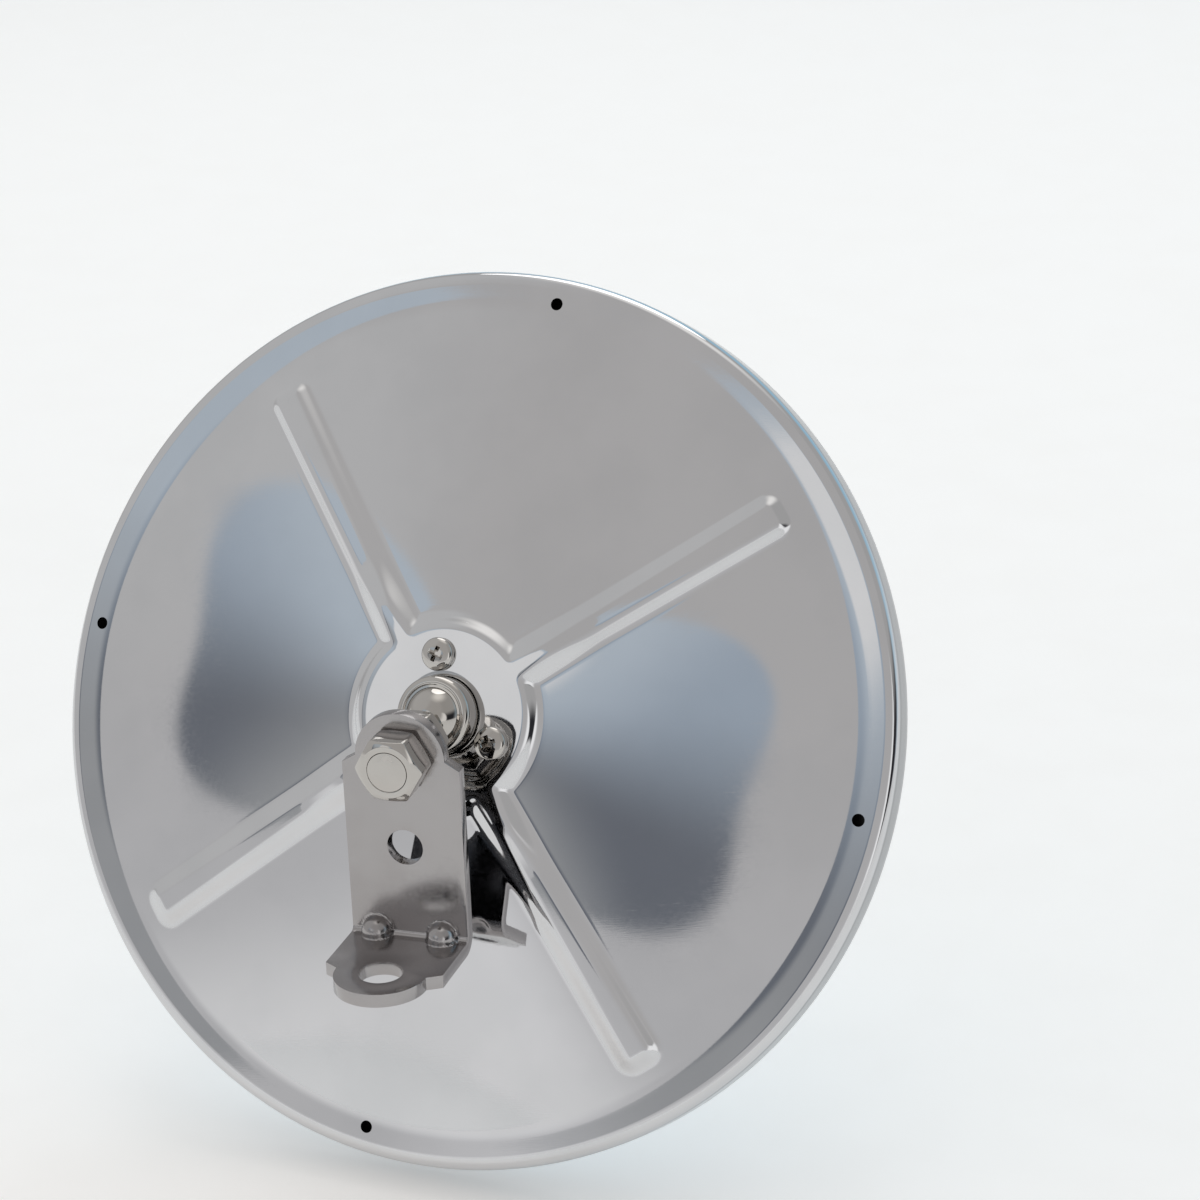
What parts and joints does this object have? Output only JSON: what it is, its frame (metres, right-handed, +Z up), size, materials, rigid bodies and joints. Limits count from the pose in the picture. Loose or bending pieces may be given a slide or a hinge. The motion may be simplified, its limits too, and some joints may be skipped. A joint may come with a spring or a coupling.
{
  "type": "convex security mirror",
  "caption": "Round convex mirror in a rubber-bound, ribbed pressed-steel back, aimed on a ball stud that bolts to a small L bracket.",
  "frame": {"origin": "centre of the hole in the bracket's foot, on the foot's underside", "axes": "+Z up out of the foot's top, +Y away from the back of the mirror, so the glass faces -Y and a little down at rest"},
  "size_m": [0.2158, 0.123, 0.2013],
  "materials": {
    "polished_stainless": "polished pressed stainless sheet",
    "satin_stainless": "satin stainless strip with bright edges",
    "bright_nickel": "bright nickel plate",
    "plain_steel": "zinc-plated steel",
    "mirror_glass": "silvered convex glass",
    "black_rubber": "smooth extruded rubber, faint sheen",
    "nylon": "natural nylon"
  },
  "bodies": {
    "bracket": {"l_bracket": "satin_stainless"},
    "stud": {"ball_stud": "bright_nickel", "stud_nut": "bright_nickel", "jam_nut": "bright_nickel", "stud_lock_washer": "bright_nickel", "stud_flat_washer": "bright_nickel"},
    "seat": {"ball_seat": "nylon"},
    "head": {"back_shell": "polished_stainless", "mirror_glass": "mirror_glass", "rubber_gasket": "black_rubber", "ball_retainer": "bright_nickel", "spring_washer": "plain_steel", "clamp_plate": "plain_steel", "clamp_screw_1": "bright_nickel", "clamp_screw_2": "bright_nickel", "clamp_screw_3": "bright_nickel", "screw_washer_1": "plain_steel", "screw_washer_2": "plain_steel", "screw_washer_3": "plain_steel", "screw_nut_1": "plain_steel", "screw_nut_2": "plain_steel", "screw_nut_3": "plain_steel"}
  },
  "joints": [
    {"name": "stud_turn", "type": "hinge", "parent": "bracket", "child": "stud", "pos_m": [0, -0.0457, 0.048], "axis": [0, 1, 0], "continuous": true},
    {"name": "head_lean", "type": "hinge", "parent": "stud", "child": "seat", "pos_m": [0, -0.0457, 0.048], "axis": [0.9848, 0, -0.1736], "range_deg": [-51.2, 4.5]},
    {"name": "head_spin", "type": "hinge", "parent": "seat", "child": "head", "pos_m": [0, -0.0457, 0.048], "axis": [0.069, 0.9178, 0.3911], "continuous": true}
  ]
}
